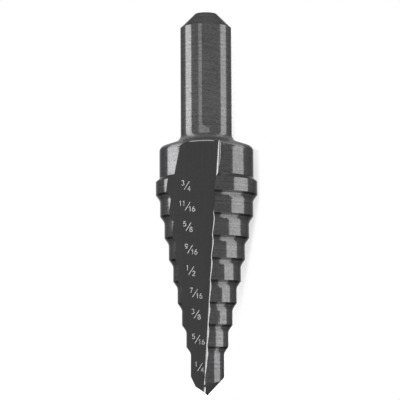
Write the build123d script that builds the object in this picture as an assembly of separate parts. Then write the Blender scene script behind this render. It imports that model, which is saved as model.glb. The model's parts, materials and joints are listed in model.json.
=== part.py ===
"""A single-flute step drill with nine sizes, 1/4 in to 3/4 in, on a three-flat shank.

Made the way the real tool is: one bar is turned to a stepped profile, the lands are
relieved, one straight V flute is ground along the steps, the point is ground, and the
shank gets three flats.  All lengths are in mm and all angles in degrees.

The tool is drawn standing on its point: Z runs up its axis from the point to the shank,
-Y is the side that shows the flute, and +X is the side behind the cutting edge.  The last
lines lay it down the way it comes to rest on a flat surface.
"""

from build123d import *
import os
from math import atan2, degrees, radians, tan

os.makedirs("parts", exist_ok=True)

INCH = 25.4

# ---- driving dimensions -------------------------------------------------------------
SMALLEST_SIZE = INCH / 4        # diameter of the lowest step
SIZE_RISE = INCH / 16           # each step is this much wider than the one below
STEP_COUNT = 9                  # 1/4, 5/16 ... 11/16, 3/4 in
STEP_PITCH = 4.0                # axial distance from one size to the next
FIRST_CORNER = 8.8              # height of the first ramp's outer corner above the point
RAMP_ANGLE = 35.0               # slope of a ramp from the axis
RAMP_FILLET = 1.3               # radius where a ramp meets the land below it
LAND_RELIEF = 0.11              # how far the lands' centre sits towards the cutting edge

COLLAR_LAND = 2.4               # height of the widest land
COLLAR_CHAMFER = 45.0           # slope from the widest land back to the neck
NECK_SIZE = 11 * INCH / 16      # diameter of the neck above the widest land
NECK_TOP = 45.65                # height of the neck's outer edge above the point
NECK_EDGE_ROUND = 1.0           # radius on that edge
SHOULDER_SLOPE = 19.0           # rise of the shoulder towards the shank
SHANK_ROOT_FILLET = 1.6         # radius where the shoulder meets the shank

SHANK_SIZE = 3 * INCH / 8       # shank diameter
LENGTH = 70.9                   # overall length
SHANK_CHAMFER = 2.68            # end chamfer, radial and axial

FLAT_COUNT = 3                  # flats round the shank
FLAT_WIDTH = 3.05               # width of one flat
FLAT_START = 48.75              # height where a flat runs out of the round
FLAT_RUNOUT = 3.0               # radius of the run-out
FLAT_TURN = 9.3                 # first flat's turn from the flute side

FLUTE_SLOPE = 9.6               # slope of the flute floor from the axis
FLUTE_CROSSING = 1.73           # height at which the floor crosses the axis plane
FLUTE_OFFSET = 0.327            # sharp root of the V, to the side of the axis at the point
FLUTE_DRIFT = 3.58              # the root moves outwards at this angle
RAKE_LEAN = 20.0                # the cutting face leans over the floor by this much
FLUTE_ROOT = 0.78               # radius at the root of the V

POINT_CONE = 48.7               # half angle of the cone that the point is ground to
POINT_TILT = 11.2               # tilt of that cone, which gives the lip its clearance
POINT_TILT_TURN = 32.0          # direction of the tilt, from the flute side to the left
HEEL_TURN = 115.0               # direction the heel facet faces, from the flute side left
HEEL_SLOPE = 19.9               # slope of the heel facet from the axis
HEEL_REACH = 1.415              # distance from the axis to the facet, level with the point

# ---- values that follow -------------------------------------------------------------
ramp_rise = SIZE_RISE / 2 / tan(radians(RAMP_ANGLE))
sizes = [SMALLEST_SIZE + SIZE_RISE * k for k in range(STEP_COUNT)]
collar_bottom = FIRST_CORNER + STEP_PITCH * (STEP_COUNT - 2)
collar_top = collar_bottom + COLLAR_LAND
collar_radius = sizes[-1] / 2
neck_radius = NECK_SIZE / 2
shank_radius = SHANK_SIZE / 2
shank_corner = LENGTH - SHANK_CHAMFER
shoulder_top = NECK_TOP + (neck_radius - shank_radius) * tan(radians(SHOULDER_SLOPE))
spare = SMALLEST_SIZE / 2       # how far a cutting shape runs past the metal
clear = 2 * NECK_SIZE           # wide enough to reach past the tool from its axis


def turned(points, rounds):
    """Revolve a closed radius/height outline about Z, rounding the named corners."""
    face = make_face(Polyline(*[(r, 0, z) for r, z in points], close=True)).face()
    for (r, z), radius in rounds:
        corner = face.vertices().sort_by_distance((r, 0, z))[0]
        face = face.fillet_2d(radius, [corner])
    return revolve(face, axis=Axis.Z)


# ---- the bar: neck and shank ---------------------------------------------------------
shank = turned(
    [
        (0, collar_bottom + COLLAR_LAND / 2),
        (neck_radius, collar_bottom + COLLAR_LAND / 2),
        (neck_radius, NECK_TOP),
        (shank_radius, shoulder_top),
        (shank_radius, shank_corner),
        (shank_radius - SHANK_CHAMFER, LENGTH),
        (0, LENGTH),
    ],
    [
        ((neck_radius, NECK_TOP), NECK_EDGE_ROUND),
        ((shank_radius, shoulder_top), SHANK_ROOT_FILLET),
    ],
)

# ---- the relieved steps: full size at the cutting edge, a little under it behind --------
outline = [(0, -spare), (sizes[0] / 2 - LAND_RELIEF, -spare)]
rounds = []
for k in range(1, STEP_COUNT):
    corner = FIRST_CORNER + STEP_PITCH * (k - 1)
    below = (sizes[k - 1] / 2 - LAND_RELIEF, corner - ramp_rise)
    outline += [below, (sizes[k] / 2 - LAND_RELIEF, corner)]
    rounds.append((below, RAMP_FILLET))
chamfer_depth = 1.75 * (collar_radius - neck_radius)  # it ends inside the neck
chamfer_top = collar_top + chamfer_depth / tan(radians(COLLAR_CHAMFER))
outline += [
    (collar_radius - LAND_RELIEF, collar_top),
    (collar_radius - LAND_RELIEF - chamfer_depth, chamfer_top),
    (0, chamfer_top),
]
steps = Pos(0, -LAND_RELIEF, 0) * turned(outline, rounds)

# ---- the point -----------------------------------------------------------------------
cone = Cone(
    0, LENGTH * tan(radians(POINT_CONE)), LENGTH, align=(Align.CENTER, Align.CENTER, Align.MIN)
)
# the cone's axis leans towards the lip, so the flank falls away behind it
point = Rot(0, 0, -POINT_TILT_TURN) * Rot(POINT_TILT, 0, 0) * cone
heel = (
    Rot(0, 0, -HEEL_TURN)
    * Pos(0, -HEEL_REACH, 0)
    * Rot(HEEL_SLOPE, 0, 0)
    * Box(clear, clear, LENGTH, align=(Align.CENTER, Align.MAX, Align.CENTER))
)

# ---- the flute ------------------------------------------------------------------------
floor_rate = tan(radians(FLUTE_SLOPE))
drift_rate = tan(radians(FLUTE_DRIFT))
start = -spare
root = Vector(FLUTE_OFFSET + drift_rate * start, -floor_rate * (start - FLUTE_CROSSING), start)
section = make_face(
    Polyline(
        root,
        root + Vector(-clear, 0, 0),
        root + Vector(-clear, -clear, 0),
        root + Vector(-clear * tan(radians(RAKE_LEAN)), -clear, 0),
        close=True,
    )
).face()
section = section.fillet_2d(FLUTE_ROOT, [section.vertices().sort_by_distance(root)[0]])
along = Vector(drift_rate, -floor_rate, 1)
flute = extrude(section, amount=LENGTH * along.length, dir=along.normalized())

# ---- the shank flats --------------------------------------------------------------------
flat_distance = (shank_radius**2 - (FLAT_WIDTH / 2) ** 2) ** 0.5
drop = shank_radius - flat_distance
flat_foot = FLAT_START - FLAT_RUNOUT + (FLAT_RUNOUT**2 - (FLAT_RUNOUT - drop) ** 2) ** 0.5
foot = Vector(0, -flat_distance, flat_foot)
head = Vector(0, -flat_distance, LENGTH + spare)
outwards = Vector(0, -shank_radius, 0)
side = make_face(Polyline(foot, foot + outwards, head + outwards, head, close=True)).face()
side = side.fillet_2d(FLAT_RUNOUT, [side.vertices().sort_by_distance(foot)[0]])
flat_tool = extrude(side, amount=shank_radius, dir=(1, 0, 0), both=True)

# ---- the finished tool ------------------------------------------------------------------
tool = (steps & point) + shank
tool = tool - heel - flute
for k in range(FLAT_COUNT):
    tool = tool - Rot(0, 0, FLAT_TURN + 360 / FLAT_COUNT * k) * flat_tool

# ---- laid down as it comes to rest: level on the widest land, its heavy side lowest ----------
heavy = tool.center(CenterOf.MASS) - Vector(0, -LAND_RELIEF, 0)
rest_turn = degrees(atan2(heavy.X, heavy.Y))
step_drill = Rot(0, rest_turn, 0) * Rot(-90, 0, 0) * tool.solid()
box = step_drill.bounding_box()
step_drill = Pos(-box.center().X, -box.center().Y, -box.min.Z) * step_drill

step_drill.label = "step_drill"
export_step(step_drill, "parts/step_drill.step")
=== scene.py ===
"""Dresses the step drill: black oxide on ground steel, etched size marks, and a plain studio.

The solid comes in metres in the row frame, where it lies at rest on z = 0 with its point
towards -y.  The tool has a frame of its own, in which the marks, the grinding and the camera
are placed: `right` and `front` look from the side of the flute, and `rise` runs up the axis
from the point to the shank.  Finishes count in millimetres there.
"""

import json
import logging
import math
from dataclasses import dataclass
from enum import Enum
from typing import Any

import bpy
from mathutils import Matrix, Vector


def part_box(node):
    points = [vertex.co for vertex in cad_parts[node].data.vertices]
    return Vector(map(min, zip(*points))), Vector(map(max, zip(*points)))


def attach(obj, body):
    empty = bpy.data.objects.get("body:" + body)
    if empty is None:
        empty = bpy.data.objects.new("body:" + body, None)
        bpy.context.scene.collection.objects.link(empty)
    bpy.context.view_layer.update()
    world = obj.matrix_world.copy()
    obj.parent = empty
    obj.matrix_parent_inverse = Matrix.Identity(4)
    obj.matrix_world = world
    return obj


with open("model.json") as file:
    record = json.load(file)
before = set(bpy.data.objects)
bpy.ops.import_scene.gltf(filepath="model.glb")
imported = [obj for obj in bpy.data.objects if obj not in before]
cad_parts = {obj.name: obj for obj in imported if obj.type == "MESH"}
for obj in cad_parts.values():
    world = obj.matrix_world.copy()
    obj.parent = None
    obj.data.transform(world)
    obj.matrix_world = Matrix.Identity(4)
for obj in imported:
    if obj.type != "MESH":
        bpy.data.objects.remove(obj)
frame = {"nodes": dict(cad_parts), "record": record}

log = logging.getLogger("step_drill")

MM = 0.001
NODE = "step_drill"
BODY = "root"
WHITE = (1.0, 1.0, 1.0, 1.0)

Stroke = list[tuple[float, float]]
Band = tuple[float, float]
Way = tuple[float, float, float]


def turned(degrees: float) -> tuple[float, float]:
    """Give the right and front shares of a direction, turned from the front to the right."""
    return math.sin(math.radians(degrees)), math.cos(math.radians(degrees))


# ---------------------------------------------------------------------------------------
# Shader maths
# ---------------------------------------------------------------------------------------


class Owner(Enum):
    """What a node tree belongs to, with the node that ends it."""

    MATERIAL = "ShaderNodeOutputMaterial"
    WORLD = "ShaderNodeOutputWorld"


class Ray(Enum):
    """The rays that see the white background."""

    CAMERA = "Is Camera Ray"
    GLOSSY = "Is Glossy Ray"
    TRANSMISSION = "Is Transmission Ray"


@dataclass(frozen=True)
class Sock:
    """An output socket on which Python's operators add Math nodes."""

    tree: "Tree"
    out: bpy.types.NodeSocket | None

    def _math(self, operation: str, *values: Any, clamp: bool = False) -> "Sock":
        """Add a Math node.

        Args:
            operation: the node's operation.
            values: its inputs, in order.
            clamp: whether the result is held between 0 and 1.

        Returns:
            The node's result.
        """
        settings = {"operation": operation, "use_clamp": clamp}
        return self.tree.node("ShaderNodeMath", settings, dict(enumerate(values)))

    def __add__(self, other: Any) -> "Sock":
        """Add."""
        return self._math("ADD", self, other)

    def __radd__(self, other: Any) -> "Sock":
        """Add this to a number."""
        return self._math("ADD", other, self)

    def __sub__(self, other: Any) -> "Sock":
        """Subtract."""
        return self._math("SUBTRACT", self, other)

    def __rsub__(self, other: Any) -> "Sock":
        """Subtract this from a number."""
        return self._math("SUBTRACT", other, self)

    def __mul__(self, other: Any) -> "Sock":
        """Multiply."""
        return self._math("MULTIPLY", self, other)

    def __rmul__(self, other: Any) -> "Sock":
        """Multiply a number by this."""
        return self._math("MULTIPLY", other, self)

    def __truediv__(self, other: Any) -> "Sock":
        """Divide."""
        return self._math("DIVIDE", self, other)

    def __rtruediv__(self, other: Any) -> "Sock":
        """Divide a number by this."""
        return self._math("DIVIDE", other, self)

    def __pow__(self, other: Any) -> "Sock":
        """Raise to a power."""
        return self._math("POWER", self, other)

    def __rpow__(self, other: Any) -> "Sock":
        """Raise a number to this power."""
        return self._math("POWER", other, self)

    def __gt__(self, other: Any) -> "Sock":
        """Give 1 where this is over the other value, and 0 elsewhere."""
        return self._math("GREATER_THAN", self, other)

    def __lt__(self, other: Any) -> "Sock":
        """Give 1 where this is under the other value, and 0 elsewhere."""
        return self._math("LESS_THAN", self, other)

    def __abs__(self) -> "Sock":
        """Drop the sign."""
        return self._math("ABSOLUTE", self)

    def most(self, other: Any) -> "Sock":
        """Take the larger of two values."""
        return self._math("MAXIMUM", self, other)

    def held(self) -> "Sock":
        """Hold the value between 0 and 1."""
        return self._math("ADD", self, 0.0, clamp=True)

    def wrapped(self, length: float) -> "Sock":
        """Fold the value into the range from 0 to a length."""
        return self._math("WRAP", self, length, 0.0)

    def dot(self, way: Vector) -> "Sock":
        """Measure a vector along a fixed direction."""
        return self.tree.node(
            "ShaderNodeVectorMath", {"operation": "DOT_PRODUCT"}, {0: self, 1: tuple(way)}, 1
        )

    def between(self, first: Any, second: Any) -> "Sock":
        """Blend two numbers, this being the share of the second."""
        sockets = {0: self, 2: first, 3: second}
        return self.tree.node("ShaderNodeMix", {"data_type": "FLOAT"}, sockets)

    def ramp(self, low: float, high: float) -> "Sock":
        """Rise smoothly from 0 at low to 1 at high.

        Args:
            low: where the rise starts.
            high: where it ends; under low for a fall.

        Returns:
            The mask.
        """
        return self.tree.node(
            "ShaderNodeMapRange",
            {"interpolation_type": "SMOOTHSTEP", "clamp": True},
            {"Value": self, "From Min": low, "From Max": high},
        )

    def leant(self, low: float, high: float, first: float, last: float) -> "Sock":
        """Run straight from one value to another.

        Args:
            low: where the run starts.
            high: where it ends.
            first: the value before the run.
            last: the value after it.

        Returns:
            The value.
        """
        return self.tree.node(
            "ShaderNodeMapRange",
            {"clamp": True},
            {"Value": self, "From Min": low, "From Max": high, "To Min": first, "To Max": last},
        )


class Tree:
    """A node tree, with one method that makes every node."""

    def __init__(self, name: str, owner: Owner = Owner.MATERIAL) -> None:
        """Start an empty tree.

        Args:
            name: the material's or the world's name.
            owner: which of the two it is.
        """
        kept = bpy.data.materials if owner is Owner.MATERIAL else bpy.data.worlds
        self.owner = owner
        self.data = kept.new(name)
        self.data.use_nodes = True
        self.nodes = self.data.node_tree.nodes
        self.links = self.data.node_tree.links
        self.nodes.clear()

    def node(
        self,
        kind: str,
        settings: dict[str, Any] | None = None,
        sockets: dict[Any, Any] | None = None,
        out: Any = 0,
    ) -> Sock:
        """Make one node.

        Args:
            kind: the node's type name.
            settings: its settings, such as an operation, set first.
            sockets: values or links of its inputs, by name or number.
            out: the output wanted, by name or number.

        Returns:
            The wanted output.
        """
        made = self.nodes.new(kind)
        for key, value in (settings or {}).items():
            setattr(made, key, value)
        for key, value in (sockets or {}).items():
            socket = made.inputs[key]
            if isinstance(value, Sock):
                self.links.new(value.out, socket)
            else:
                socket.default_value = value
        return Sock(self, made.outputs[out] if made.outputs else None)

    def seen(self) -> Sock:
        """Find the rays that see the white background.

        Returns:
            1 for those rays, and 0 for the rest.
        """
        camera, glossy, through = (self.node("ShaderNodeLightPath", out=ray.value) for ray in Ray)
        return (camera + glossy + through).held()

    def finish(self, shader: Sock) -> bpy.types.Material | bpy.types.World:
        """Link the surface and give what the tree belongs to.

        Args:
            shader: the shader that the surface shows.

        Returns:
            The material or the world.
        """
        self.node(self.owner.value, {}, {"Surface": shader})
        return self.data


# ---------------------------------------------------------------------------------------
# The tool's own frame
# ---------------------------------------------------------------------------------------


@dataclass(frozen=True)
class Spot:
    """What a finish knows of the point that it shades, in the tool's frame and millimetres."""

    tree: Tree
    tool: "ToolFrame"
    right: Sock
    front: Sock
    rise: Sock
    normal: Sock

    def facing(self, right: float, front: float, rise: float) -> Sock:
        """Measure how far the surface faces a direction of the tool's frame."""
        return self.normal.dot(self.tool.way(right, front, rise))

    def lines(self, place: Sock, per_mm: float) -> Sock:
        """Rule uneven lines across a coordinate.

        Args:
            place: the coordinate.
            per_mm: how many lines there are in a millimetre.

        Returns:
            A value around a half.
        """
        return self.tree.node(
            "ShaderNodeTexNoise",
            {"noise_dimensions": "1D"},
            {"W": place, "Scale": per_mm, "Detail": 2.0, "Roughness": 0.6},
        )

    def scratches(self, across: float, along: float) -> Sock:
        """Draw long scratches that run up the tool.

        Args:
            across: how many there are in a millimetre, from side to side.
            along: how many follow each other in a millimetre of height.

        Returns:
            A value around a half.
        """
        sockets = {0: self.right * across, 1: self.rise * along}
        place = self.tree.node("ShaderNodeCombineXYZ", {}, sockets)
        return self.tree.node(
            "ShaderNodeTexNoise",
            {"noise_dimensions": "2D"},
            {"Vector": place, "Scale": 1.0, "Detail": 2.0},
        )

    def grain(self, per_metre: float) -> Sock:
        """Speckle the surface.

        Args:
            per_metre: how many specks there are in a metre.

        Returns:
            A value around a half.
        """
        place = self.tree.node("ShaderNodeTexCoord", out="Object")
        sockets = {"Vector": place, "Scale": per_metre, "Detail": 3.0}
        return self.tree.node("ShaderNodeTexNoise", {}, sockets)

    def grey(self, shade: Sock, blue: float = 1.0) -> Sock:
        """Make a grey of a number.

        Args:
            shade: its brightness.
            blue: how much stronger the blue is.

        Returns:
            The colour.
        """
        sockets = {0: shade, 1: shade, 2: shade * blue}
        return self.tree.node("ShaderNodeCombineColor", {}, sockets)


@dataclass(frozen=True)
class ToolFrame:
    """Where the tool's axis lies, and how far the tool is rolled about it."""

    length: float
    axis_x: float
    axis_z: float
    roll: float

    @classmethod
    def of_the_drill(cls) -> "ToolFrame":
        """Work the tool's frame out from the solid's length and the shank's mounts.

        Returns:
            The tool's frame.
        """
        low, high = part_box(NODE)
        mounts = {mount["name"]: mount for mount in frame["record"]["mounts"]}
        axis_x, _, axis_z = mounts["shank"]["pos_m"]
        side, _, out = mounts["shank_flat_top"]["axis"]
        roll = math.atan2(side, out) - math.radians(BarShape().flat_turn)
        return cls(high.y - low.y, axis_x, axis_z, roll)

    @property
    def origin(self) -> Vector:
        """The end of the axis at the point, in the row frame."""
        return Vector((self.axis_x, -self.length / 2, self.axis_z))

    def way(self, right: float, front: float, rise: float) -> Vector:
        """Turn a direction that is given in the tool's frame into the row frame.

        Args:
            right: its share to the right.
            front: its share to the front.
            rise: its share up the axis.

        Returns:
            The direction in the row frame.
        """
        across = Vector((math.cos(self.roll), 0.0, -math.sin(self.roll)))
        out = Vector((math.sin(self.roll), 0.0, math.cos(self.roll)))
        return right * across + front * out + rise * Vector((0.0, 1.0, 0.0))

    def point(self, right: float, front: float, rise: float) -> Vector:
        """Place a point that is given in the tool's frame, in millimetres, in the row frame."""
        return self.origin + self.way(right * MM, front * MM, rise * MM)

    def spot(self, tree: Tree) -> Spot:
        """Give a material the tool's coordinates in millimetres.

        Args:
            tree: the material's tree.

        Returns:
            The point that it shades.
        """
        place = tree.node("ShaderNodeTexCoord", out="Object")
        normal = tree.node("ShaderNodeNewGeometry", out="Normal")
        ways = (self.way(1, 0, 0), self.way(0, 1, 0), self.way(0, 0, 1))
        found = [place.dot(way / MM) - self.origin.dot(way) / MM for way in ways]
        return Spot(tree, self, *found, normal)


@dataclass(frozen=True)
class FluteShape:
    """The lines that the flute is ground to, in the tool's frame and millimetres."""

    slope: float = 9.6
    crossing: float = 1.73
    offset: float = 0.327
    drift: float = 0.0626
    lean: float = 20.0

    @property
    def rate(self) -> float:
        """How far the floor comes forward in a millimetre of height."""
        return math.tan(math.radians(self.slope))

    @property
    def floor_way(self) -> Way:
        """The direction that the floor faces."""
        return self.round_way(0.0)

    @property
    def face_way(self) -> Way:
        """The direction that the cutting face faces, towards the floor."""
        over, out = turned(self.lean)
        return -out, -over, 0.0

    def round_way(self, turn: float) -> Way:
        """Give a direction that the round at the root faces.

        Args:
            turn: how far it is turned to the left from the floor's, in degrees.

        Returns:
            The direction in the tool's frame.
        """
        back, over = turned(self.slope)
        side, out = turned(turn)
        return -side, out * over, -out * back

    def off_floor(self, spot: Spot) -> Sock:
        """Measure the distance in front of the floor."""
        return spot.front - (spot.rise - self.crossing) * self.rate

    def off_root(self, spot: Spot) -> Sock:
        """Measure the distance to the right of the root."""
        return spot.right - spot.rise * self.drift - self.offset

    def behind_face(self, spot: Spot) -> Sock:
        """Measure the distance behind the cutting face."""
        return self.off_root(spot) + self.off_floor(spot) * math.tan(math.radians(self.lean))

    def on_floor(self, right: float, rise: float, proud: float) -> Way:
        """Find a point of the floor.

        Args:
            right: its distance to the right of the axis.
            rise: its height above the point.
            proud: how far off the floor it is.

        Returns:
            The point in the tool's frame.
        """
        return right, self.rate * (rise - self.crossing) + proud, rise


@dataclass(frozen=True)
class BarShape:
    """The heights, radii and turns of the bar, in the tool's frame, millimetres and degrees."""

    first_corner: float = 8.8
    step_pitch: float = 4.0
    collar: float = 36.8
    neck_top: float = 45.65
    neck_radius: float = 8.731
    shoulder_rate: float = 0.344
    flat_turn: float = 9.3
    flats: int = 3

    def under_shoulder(self, spot: Spot) -> Sock:
        """Measure the distance under the shoulder's slope."""
        radius = (spot.right * spot.right + spot.front * spot.front) ** 0.5
        return (self.neck_radius - radius) * self.shoulder_rate + self.neck_top - spot.rise


# ---------------------------------------------------------------------------------------
# Finishes
# ---------------------------------------------------------------------------------------


@dataclass(frozen=True)
class Wear:
    """The marks of grinding and use, each with its strength as a share of the shade."""

    clouds: float = 0.35
    clouds_per_metre: float = 260.0
    grain: float = 1.0
    grain_per_metre: float = 2600.0
    pits: float = 0.35
    pits_per_metre: float = 1500.0
    pit_band: Band = (0.66, 0.72)
    lines: float = 0.9
    coarse_lines_per_mm: float = 2.6
    fine_lines_per_mm: float = 7.5
    fine_share: float = 0.3
    arcs_per_mm: float = 3.4
    arc_bend: float = 0.12
    scratches_across: float = 5.0
    scratches_along: float = 0.10
    flute_share: float = 0.25
    depth: float = 1.6e-6
    bump: float = 0.5
    turned_depth: float = 0.55
    flute_depth: float = 0.15
    cloud_roughness: float = 0.06
    grain_roughness: float = 0.05

    def pattern(self, spot: Spot, on_flute: Sock, on_flat: Sock) -> Sock:
        """Rule the lines that turning and grinding leave.

        Args:
            spot: the point that is shaded.
            on_flute: the mask of the flute's floor.
            on_flat: the mask of the shank's flats.

        Returns:
            A value around a half.
        """
        coarse = spot.lines(spot.rise, self.coarse_lines_per_mm) * (1 - self.fine_share)
        fine = spot.lines(spot.rise, self.fine_lines_per_mm) * self.fine_share
        scratches = spot.scratches(self.scratches_across, self.scratches_along)
        arcs = spot.lines(spot.rise + spot.right * spot.right * self.arc_bend, self.arcs_per_mm)
        return on_flat.between(on_flute.between(coarse + fine, scratches), arcs)


@dataclass(frozen=True)
class PaintedRootShine:
    """The painted highlights and painted shade on the round at the flute's root."""

    # painted highlights at the tip and the neck, and painted shade at the point and along a dark
    # line
    at_tip: float = 0.13
    at_point: float = 0.022
    at_steps: float = 0.062
    at_neck: float = 0.085
    painted_dark_line: float = 0.012
    painted_dark_line_turn: float = 32.0
    painted_dark_line_band: Band = (0.991, 0.996)
    tip_foot: Band = (0.3, 0.5)
    tip_head: Band = (1.6, 1.45)
    tip_side: Band = (-0.70, -0.82)
    steps_foot: Band = (3.2, 4.2)
    neck_foot: Band = (36.0, 38.0)
    off_floor: Band = (0.9, 0.7)
    left_of_root: Band = (-1.5, -1.2)
    right_of_root: Band = (0.3, 0.1)
    floor_band: Band = (0.9985, 0.994)
    clear_of_floor: float = 0.002
    cut: FluteShape = FluteShape()

    def shade(self, spot: Spot) -> Sock:
        """Paint highlights and shade on the round from the tip to the neck.

        Args:
            spot: the point that is shaded.

        Returns:
            The shade.
        """
        rise = spot.rise
        tip = rise.ramp(*self.tip_head) * rise.ramp(*self.tip_foot)
        tip = tip * self.cut.off_root(spot).ramp(*self.tip_side)
        neck = rise.ramp(*self.neck_foot)
        # a painted dark line where the round faces between the lamps
        painted_dark_line = spot.facing(*self.cut.round_way(self.painted_dark_line_turn)).ramp(*self.painted_dark_line_band) * neck
        shade = rise.ramp(*self.steps_foot).between(self.at_point, self.at_steps)
        shade = neck.between(tip.between(shade, self.at_tip), self.at_neck)
        return painted_dark_line.between(shade, self.painted_dark_line)

    def mask(self, spot: Spot) -> Sock:
        """Find the round.

        Args:
            spot: the point that is shaded.

        Returns:
            The mask.
        """
        off_floor, off_root = self.cut.off_floor(spot), self.cut.off_root(spot)
        near = off_root.ramp(*self.left_of_root) * off_root.ramp(*self.right_of_root)
        not_floor = spot.facing(*self.cut.floor_way).ramp(*self.floor_band)
        return near * off_floor.ramp(*self.off_floor) * not_floor * (off_floor > self.clear_of_floor)


@dataclass(frozen=True)
class BareEdgeWithPaintedHighlight:
    """The sharp cutting edge, rubbed bare by work on metal, with a painted highlight along it."""

    # partly bare steel and partly a painted highlight along the edge
    shade: float = 0.70
    width: Band = (0.10, 0.03)
    start: Band = (-0.03, -0.02)
    waves: float = 0.08
    waves_per_mm: float = 0.9
    face_band: Band = (0.96, 0.90)
    faint_below: Band = (2.9, 4.6)
    faint_share: float = 0.06
    foot: Band = (1.8, 2.4)
    head: Band = (33.5, 32.0)
    off_floor: Band = (0.1, 0.2)
    cut: FluteShape = FluteShape()

    def mask(self, spot: Spot) -> Sock:
        """Find the edge.

        Args:
            spot: the point that is shaded.

        Returns:
            The mask.
        """
        rise, behind = spot.rise, self.cut.behind_face(spot)
        uneven = behind - spot.lines(rise, self.waves_per_mm) * self.waves
        off_face = spot.facing(*self.cut.face_way).ramp(*self.face_band)
        edge = uneven.ramp(*self.width) * behind.ramp(*self.start) * off_face
        along = rise.ramp(*self.faint_below).between(self.faint_share, 1.0)
        along = along * rise.ramp(*self.head) * rise.ramp(*self.foot)
        return edge * along * self.cut.off_floor(spot).ramp(*self.off_floor)


@dataclass(frozen=True)
class PaleRim:
    """The thin pale line where the flute's floor meets the shoulder."""

    shade: float = 0.37
    width: Band = (0.21, 0.12)
    left_end: Band = (-3.4, -2.6)
    right_end: Band = (1.6, 1.0)
    bar: BarShape = BarShape()

    def mask(self, spot: Spot, on_flute: Sock) -> Sock:
        """Find the rim.

        Args:
            spot: the point that is shaded.
            on_flute: the mask of the flute's floor.

        Returns:
            The mask.
        """
        thin = self.bar.under_shoulder(spot).ramp(*self.width) * on_flute
        return thin * spot.right.ramp(*self.left_end) * spot.right.ramp(*self.right_end)


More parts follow.
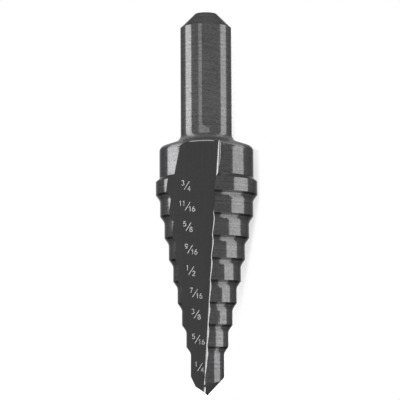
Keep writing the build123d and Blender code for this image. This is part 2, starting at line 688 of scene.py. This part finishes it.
@dataclass(frozen=True)
class BlackOxide:
    """Black oxide over ground high-speed steel, in the shades that each grinding leaves, with some
    painted shade and painted highlights.
    """

    lands: float = 0.064
    flute: float = 0.0455
    shank: float = 0.080
    # painted shade on the ramps, which face the point
    ramp_painted_shade: float = 0.050
    # painted shade: a dark line at the top of each ramp, under its step's corner
    painted_shade_under_corner: float = 0.018
    shoulder: float = 0.070
    cutting_face: float = 0.12
    blue: float = 1.02
    edge_tint: float = 0.42
    index: float = 1.5
    metallic: float = 0.94
    shoulder_metallic: float = 0.45
    roughness: float = 0.075
    shoulder_roughness: float = 0.42
    floor_band: Band = (0.9975, 0.9995)
    flat_band: Band = (0.9988, 0.9997)
    face_band: Band = (0.96, 0.99)
    ramp_band: Band = (0.10, 0.50)
    steep_band: Band = (0.40, 0.52)
    shoulder_band: Band = (0.15, 0.75)
    shank_foot: Band = (47.0, 48.0)
    shoulder_foot: Band = (44.5, 44.9)
    shoulder_head: Band = (56.0, 54.0)
    corner_reach: Band = (0.46, 0.34)
    first_ramp: float = 1.2
    wear: Wear = Wear()
    root: PaintedRootShine = PaintedRootShine()
    edge: BareEdgeWithPaintedHighlight = BareEdgeWithPaintedHighlight()
    rim: PaleRim = PaleRim()
    cut: FluteShape = FluteShape()
    bar: BarShape = BarShape()

    def material(self, tool: ToolFrame) -> bpy.types.Material:
        """Build the finish.

        Args:
            tool: the tool's frame.

        Returns:
            The material.
        """
        tree, wear = Tree("black_oxide"), self.wear
        spot = tool.spot(tree)
        on_flute = spot.facing(*self.cut.floor_way).ramp(*self.floor_band)
        on_shank = spot.rise.ramp(*self.shank_foot)
        on_flat = self.on_flats(spot) * on_shank
        on_shoulder = self.on_shoulder(spot)

        clouds, grain = spot.grain(wear.clouds_per_metre), spot.grain(wear.grain_per_metre)
        marks = wear.pattern(spot, on_flute, on_flat)
        pits = spot.grain(wear.pits_per_metre).ramp(*wear.pit_band) * wear.pits
        worn = (clouds - 0.5) * wear.clouds + (grain - 0.5) * wear.grain
        worn = worn + (marks - 0.5) * wear.lines - pits
        shade = self.shades(spot, on_flute, on_shank, on_shoulder)
        shade = shade * (1 + worn * on_flute.between(1.0, wear.flute_share))

        height = marks * on_flat.between(on_flute.between(wear.turned_depth, wear.flute_depth), 1.0)
        bump = {"Strength": wear.bump, "Distance": wear.depth, "Height": height}
        ground = clouds * wear.cloud_roughness + grain * wear.grain_roughness + self.roughness
        shader = tree.node(
            "ShaderNodeBsdfPrincipled",
            {},
            {
                "Base Color": spot.grey(shade, self.blue),
                "Roughness": on_shoulder.between(ground, self.shoulder_roughness),
                "Metallic": on_shoulder.between(self.metallic, self.shoulder_metallic),
                "IOR": self.index,
                "Specular Tint": (self.edge_tint, self.edge_tint, self.edge_tint, 1.0),
                "Normal": tree.node("ShaderNodeBump", {}, bump),
            },
        )
        return tree.finish(shader)

    def shades(self, spot: Spot, on_flute: Sock, on_shank: Sock, on_shoulder: Sock) -> Sock:
        """Shade each ground surface; the ramps and the tops of the ramps get painted shade, the root
        painted highlights and shade, and the cutting edge a painted highlight.

        Args:
            spot: the point that is shaded.
            on_flute: the mask of the flute's floor.
            on_shank: the mask of the shank.
            on_shoulder: the mask of the shoulder.

        Returns:
            The shade before wear.
        """
        down = spot.facing(0, 0, -1)
        shade = on_shank.between(self.lands, self.shank)
        shade = on_flute.between(shade, self.flute)
        # painted shade on the ramps, which face the point
        shade = down.ramp(*self.ramp_band).between(shade, self.ramp_painted_shade)
        # painted shade under each step's corner
        shade = self.painted_shade_under_corners(spot, down).between(shade, self.painted_shade_under_corner)
        shade = on_shoulder.between(shade, self.shoulder)
        # painted highlights and painted shade on the round at the flute's root
        shade = self.root.mask(spot).between(shade, self.root.shade(spot))
        on_face = spot.facing(*self.cut.face_way).ramp(*self.face_band)
        shade = on_face.between(shade, self.cutting_face)
        # a painted highlight along the bare cutting edge
        shade = self.edge.mask(spot).between(shade, self.edge.shade)
        return self.rim.mask(spot, on_flute).between(shade, self.rim.shade)

    def on_flats(self, spot: Spot) -> Sock:
        """Find the surfaces that face as the shank's flats do.

        Args:
            spot: the point that is shaded.

        Returns:
            The mask.
        """
        turns = [self.bar.flat_turn + 360 / self.bar.flats * k for k in range(self.bar.flats)]
        found, *others = [spot.facing(*turned(turn), 0).ramp(*self.flat_band) for turn in turns]
        for other in others:
            found = found.most(other)
        return found

    def on_shoulder(self, spot: Spot) -> Sock:
        """Find the shoulder above the neck, which is turned and left matt.

        Args:
            spot: the point that is shaded.

        Returns:
            The mask.
        """
        upwards = spot.facing(0, 0, 1).ramp(*self.shoulder_band)
        return upwards * spot.rise.ramp(*self.shoulder_foot) * spot.rise.ramp(*self.shoulder_head)

    def painted_shade_under_corners(self, spot: Spot, down: Sock) -> Sock:
        """Find the top of each ramp, right under the corner of its step, where a painted shade goes.

        Args:
            spot: the point that is shaded.
            down: how far the surface faces the point.

        Returns:
            The mask.
        """
        below = (self.bar.first_corner - spot.rise).wrapped(self.bar.step_pitch)
        on_ramp = down.ramp(*self.steep_band) * (spot.rise > self.bar.first_corner - self.first_ramp)
        return below.ramp(*self.corner_reach) * on_ramp


@dataclass(frozen=True)
class Etching:
    """The pale, matt trace of an etched mark."""

    shade: float = 0.26
    least: float = 0.4
    specks: float = 0.5
    specks_per_metre: float = 5200.0
    patches: float = 0.7
    patches_per_metre: float = 900.0
    metallic: float = 0.55
    roughness: float = 0.4
    speck_roughness: float = 0.3

    def material(self, tool: ToolFrame) -> bpy.types.Material:
        """Build the finish.

        Args:
            tool: the tool's frame.

        Returns:
            The material.
        """
        tree = Tree("etched_mark")
        spot = tool.spot(tree)
        specks = spot.grain(self.specks_per_metre)
        patches = spot.grain(self.patches_per_metre)
        bite = specks * self.specks + patches * self.patches + self.least
        shader = tree.node(
            "ShaderNodeBsdfPrincipled",
            {},
            {
                "Base Color": spot.grey(bite * self.shade),
                "Roughness": specks * self.speck_roughness + self.roughness,
                "Metallic": self.metallic,
            },
        )
        return tree.finish(shader)


@dataclass(frozen=True)
class StudioFloor:
    """A white floor that keeps the object's shadow close to the object.

    Away from the object the floor is its own white.  The white starts at a half width that
    follows the tool's outline.  That is measured from a line to the left of the middle, since
    the camera looks in from the right, and it leaves a margin for the shadow on the right.
    """

    albedo: float = 0.68
    own_white: float = 1.0
    near_white: float = 0.20
    fade: float = 1.3
    end_rate: float = 1.5
    shift: float = 1.3
    half_at_point: float = 2.0
    half_at_collar: float = 8.6
    half_at_shank: float = 3.9
    shank_foot: Band = (46.0, 48.0)
    bar: BarShape = BarShape()

    def material(self, tool: ToolFrame) -> bpy.types.Material:
        """Build the finish.

        Args:
            tool: the tool's frame.

        Returns:
            The material.
        """
        tree = Tree("white_floor")
        place = tree.node("ShaderNodeTexCoord", out="Object")
        across = abs(place.dot(Vector((1.0, 0.0, 0.0)) / MM) + self.shift)
        rise = (place.dot(Vector((0.0, 1.0, 0.0))) + tool.length / 2) / MM
        half = rise.leant(0.0, self.bar.collar, self.half_at_point, self.half_at_collar)
        half = rise.ramp(*self.shank_foot).between(half, self.half_at_shank)
        past_ends = (0.0 - rise).most(rise - tool.length / MM) * self.end_rate
        white = (across - half).most(past_ends).ramp(0.0, self.fade)
        white = white.between(self.near_white, self.own_white)
        colour = (self.albedo, self.albedo, self.albedo, 1.0)
        matt = tree.node("ShaderNodeBsdfDiffuse", {}, {"Color": colour})
        glow = tree.node("ShaderNodeEmission", {}, {"Color": WHITE, "Strength": 1.0})
        mixed = tree.node("ShaderNodeMixShader", {}, {0: tree.seen() * white, 1: matt, 2: glow})
        return tree.finish(mixed)


# ---------------------------------------------------------------------------------------
# The drill
# ---------------------------------------------------------------------------------------


@dataclass
class DrillBody:
    """The CAD solid, with its finish."""

    tool: ToolFrame
    finish: BlackOxide = BlackOxide()

    def build(self) -> bpy.types.Object:
        """Take the solid from the frame and give it its finish.

        Returns:
            The CAD object.
        """
        body = frame["nodes"][NODE]
        body.data.materials.clear()
        body.data.materials.append(self.finish.material(self.tool))
        return body


# a curved stroke is drawn in chords that turn about this many degrees, and in no fewer than three
CHORD_TURN = 30
LEAST_CHORDS = 3


def arc(middle: tuple[float, float], size: tuple[float, float], start: float, end: float) -> Stroke:
    """Trace part of an ellipse.

    Args:
        middle: its centre.
        size: its half axes.
        start: the first angle in degrees, anticlockwise from the right.
        end: the last angle.

    Returns:
        The points.
    """
    steps = max(LEAST_CHORDS, round(abs(end - start) / CHORD_TURN))
    turns = [math.radians(start + (end - start) * k / steps) for k in range(steps + 1)]
    return [(middle[0] + size[0] * math.cos(t), middle[1] + size[1] * math.sin(t)) for t in turns]


DIGITS: dict[str, list[Stroke]] = {
    "1": [[(0.10, 0.80), (0.30, 1.00), (0.30, 0.00)]],
    "2": [arc((0.28, 0.74), (0.26, 0.26), 170, -35) + [(0.02, 0.00), (0.56, 0.00)]],
    "3": [arc((0.26, 0.76), (0.24, 0.24), 150, -80), arc((0.26, 0.27), (0.28, 0.27), 80, -150)],
    "4": [[(0.42, 0.00), (0.42, 1.00), (0.02, 0.32), (0.58, 0.32)]],
    "5": [[(0.52, 1.00), (0.12, 1.00), (0.06, 0.56)] + arc((0.25, 0.32), (0.28, 0.31), 105, -145)],
    "6": [arc((0.62, 0.30), (0.60, 0.72), 105, 180), arc((0.29, 0.28), (0.27, 0.28), 180, 540)],
    "7": [[(0.02, 1.00), (0.56, 1.00), (0.22, 0.00)]],
    "8": [arc((0.28, 0.77), (0.21, 0.22), 90, 450), arc((0.28, 0.28), (0.27, 0.28), 90, 450)],
    "9": [arc((-0.04, 0.70), (0.60, 0.72), -75, 0), arc((0.29, 0.72), (0.27, 0.28), 0, 360)],
}


# a fraction's slanted bar, where its upper number ends and where its lower number starts
BAR: Stroke = [(0.50, 0.72), (-0.45, -0.75)]
UPPER_END = (-0.30, 0.05)
LOWER_START = (0.22, -0.95)


@dataclass(frozen=True)
class SizeMark:
    """One size, written as a fraction beside its step."""

    upper: str
    lower: str
    right: float
    rise: float

    def strokes(self, digit: float, pitch: float) -> list[Stroke]:
        """Write the fraction around its place.

        Args:
            digit: the digits' height in millimetres.
            pitch: the distance from one digit to the next.

        Returns:
            The strokes' points, to the right and up, in millimetres.
        """
        found = [list(BAR)]
        upper = (UPPER_END[0] - pitch * len(self.upper), UPPER_END[1])
        for text, (left, foot) in ((self.upper, upper), (self.lower, LOWER_START)):
            for k, letter in enumerate(text):
                start = left + pitch * k
                for stroke in DIGITS[letter]:
                    found.append([(start + digit * x, foot + digit * y) for x, y in stroke])
        return [[(self.right + x, self.rise + y) for x, y in stroke] for stroke in found]


@dataclass
class SizeMarks:
    """The nine sizes, etched in the flute."""

    tool: ToolFrame
    digit: float = 0.86
    pitch: float = 0.62
    stroke: float = 0.12
    proud: float = 0.006
    mitre_limit: float = 0.5
    cut: FluteShape = FluteShape()
    finish: Etching = Etching()
    marks: tuple[SizeMark, ...] = (
        SizeMark("1", "4", -1.40, 5.17),
        SizeMark("5", "16", -1.85, 10.24),
        SizeMark("3", "8", -1.95, 14.77),
        SizeMark("7", "16", -2.25, 18.56),
        SizeMark("1", "2", -2.90, 22.63),
        SizeMark("9", "16", -3.10, 26.50),
        SizeMark("5", "8", -3.35, 30.56),
        SizeMark("11", "16", -3.50, 34.24),
        SizeMark("3", "4", -3.67, 37.92),
    )

    def ribbon(self, points: Stroke, places: list[Vector], faces: list[tuple[int, ...]]) -> None:
        """Lay one stroke on the floor of the flute.

        Args:
            points: the stroke's middle line, to the right and up, in millimetres.
            places: the vertices that the stroke is added to.
            faces: the faces that it is added to.
        """
        line = [Vector(p) for p in points]
        start = len(places)
        for k, here in enumerate(line):
            before = (here - line[k - 1]).normalized() if k else None
            after = (line[k + 1] - here).normalized() if k + 1 < len(line) else None
            along = ((before or after) + (after or before)).normalized()
            reach = self.stroke / 2 / max(self.mitre_limit, abs(along.dot(after or before)))
            side = Vector((-along.y, along.x)) * reach
            for proud in (self.proud, -self.proud):
                for edge in (here + side, here - side):
                    places.append(self.tool.point(*self.cut.on_floor(edge.x, edge.y, proud)))
        for a in range(start, start + 4 * (len(line) - 1), 4):
            b = a + 4
            faces += [(a, a + 1, b + 1, b), (a, b, b + 2, a + 2), (a + 1, a + 3, b + 3, b + 1)]

    def build(self) -> bpy.types.Object:
        """Etch every mark.

        Returns:
            The marks, in one object.
        """
        places: list[Vector] = []
        faces: list[tuple[int, ...]] = []
        for mark in self.marks:
            for stroke in mark.strokes(self.digit, self.pitch):
                self.ribbon(stroke, places, faces)
        mesh = bpy.data.meshes.new("size_marks")
        mesh.from_pydata(places, [], faces)
        mesh.materials.append(self.finish.material(self.tool))
        marks = bpy.data.objects.new("size_marks", mesh)
        bpy.context.scene.collection.objects.link(marks)
        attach(marks, BODY)
        return marks


# ---------------------------------------------------------------------------------------
# The studio
# ---------------------------------------------------------------------------------------


@dataclass(frozen=True)
class Stand:
    """Where a lamp stands beside the axis, in millimetres, and its turn away from the front."""

    right: float
    front: float
    turn: float


LEFT = Stand(-40.0, 5.0, -90.0)
RIGHT = Stand(25.45, 8.36, 76.7)
RIGHT_TIP = Stand(22.78, 19.65, 76.7)
RIGHT_HIGH = Stand(26.26, 4.95, 76.7)
FLUTE_SIDE = Stand(-43.6, 67.1, -33.0)
OVERHEAD = Stand(-17.4, 98.5, -10.0)


@dataclass(frozen=True)
class Softbox:
    """A flat lamp along the tool, from a low to a high end, in millimetres."""

    name: str
    stand: Stand
    half_width: float
    low: float
    high: float
    radiance: float

    def build(self, tool: ToolFrame) -> bpy.types.Object:
        """Place the lamp.

        Args:
            tool: the tool's frame.

        Returns:
            The lamp.
        """
        data = bpy.data.lights.new(self.name, "AREA")
        data.shape = "RECTANGLE"
        data.size = (self.high - self.low) * MM
        data.size_y = 2 * self.half_width * MM
        data.energy = self.radiance * math.pi * data.size * data.size_y
        lamp = bpy.data.objects.new(self.name, data)
        lamp.visible_camera = False
        bpy.context.scene.collection.objects.link(lamp)
        # the lamp shines along its own -Z, and its long side runs along the tool
        along, away = tool.way(0, 0, 1), tool.way(*turned(self.stand.turn), 0)
        turn = Matrix((along, away.cross(along), away)).transposed()
        place = tool.point(self.stand.right, self.stand.front, (self.low + self.high) / 2)
        lamp.matrix_world = Matrix.Translation(place) @ turn.to_4x4()
        return lamp


@dataclass
class Studio:
    """A pale floor, long lamps beside the tool and an even sky."""

    tool: ToolFrame
    floor_half: float = 1.5
    sky: float = 0.8
    white: float = 1.0
    lamps: tuple[Softbox, ...] = (
        Softbox("left_low", LEFT, half_width=12.0, low=5.0, high=51.0, radiance=7.4),
        Softbox("left_high", LEFT, half_width=12.0, low=51.0, high=110.0, radiance=5.2),
        Softbox("right_low", RIGHT, half_width=8.7, low=-30.0, high=42.6, radiance=4.3),
        Softbox("right_tip", RIGHT_TIP, half_width=2.9, low=-10.0, high=14.0, radiance=4.0),
        Softbox("right_neck", RIGHT, half_width=7.3, low=42.6, high=49.0, radiance=4.2),
        Softbox("right_high", RIGHT_HIGH, half_width=7.5, low=49.0, high=110.0, radiance=3.05),
        Softbox("flute", FLUTE_SIDE, half_width=25.0, low=-25.0, high=38.0, radiance=8.0),
        Softbox("overhead", OVERHEAD, half_width=44.0, low=60.0, high=104.0, radiance=1.45),
    )

    def floor(self) -> bpy.types.Object:
        """Lay the floor.

        Returns:
            The floor.
        """
        mesh = bpy.data.meshes.new("floor")
        half = self.floor_half
        corners = [(-half, -half, 0.0), (half, -half, 0.0), (half, half, 0.0), (-half, half, 0.0)]
        mesh.from_pydata(corners, [], [(0, 1, 2, 3)])
        mesh.materials.append(StudioFloor().material(self.tool))
        floor = bpy.data.objects.new("floor", mesh)
        bpy.context.scene.collection.objects.link(floor)
        return floor

    def world(self) -> bpy.types.World:
        """Light the surroundings evenly; what the camera and gloss see of them is white.

        Returns:
            The world.
        """
        tree = Tree("studio", Owner.WORLD)
        strength = tree.seen().between(self.sky, self.white)
        sky = {"Color": WHITE, "Strength": strength}
        world = tree.finish(tree.node("ShaderNodeBackground", {}, sky))
        bpy.context.scene.world = world
        return world

    def build(self) -> bpy.types.Object:
        """Build the whole studio.

        Returns:
            The floor.
        """
        floor = self.floor()
        self.world()
        for lamp in self.lamps:
            lamp.build(self.tool)
        bpy.context.scene.view_settings.view_transform = "Standard"
        return floor


@dataclass(frozen=True)
class Viewpoint:
    """The camera, placed in the tool's frame."""

    tool: ToolFrame
    distance: float = 0.330
    from_point_side: float = math.radians(6.5)
    aim_right: float = -1.229
    aim_rise: float = 35.956
    roll: float = math.radians(-0.275)
    focal_pixels: float = 1783.1
    frame_pixels: float = 400.0
    film: float = 36.0

    def build(self) -> bpy.types.Object:
        """Place the camera.

        Returns:
            The camera.
        """
        lean = self.from_point_side
        back = self.tool.way(0.0, math.cos(lean), -math.sin(lean))
        over = self.tool.way(0.0, math.sin(lean), math.cos(lean))
        side = over.cross(back)
        right = math.cos(self.roll) * side + math.sin(self.roll) * over
        up = math.cos(self.roll) * over - math.sin(self.roll) * side
        data = bpy.data.cameras.new("camera")
        data.sensor_width = self.film
        data.lens = self.film * self.focal_pixels / self.frame_pixels
        camera = bpy.data.objects.new("camera", data)
        bpy.context.scene.collection.objects.link(camera)
        turn = Matrix((right, up, back)).transposed().to_4x4()
        aim = self.tool.point(self.aim_right, 0.0, self.aim_rise)
        camera.matrix_world = Matrix.Translation(aim + self.distance * back) @ turn
        bpy.context.scene.camera = camera
        return camera


def main() -> None:
    """Build everything in order."""
    logging.basicConfig(level=logging.INFO, format="%(name)s: %(message)s")
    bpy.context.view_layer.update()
    tool = ToolFrame.of_the_drill()
    for piece in (DrillBody(tool), SizeMarks(tool), Studio(tool), Viewpoint(tool)):
        log.info("%s built %s", type(piece).__name__, piece.build().name)


if __name__ == "__main__":
    main()
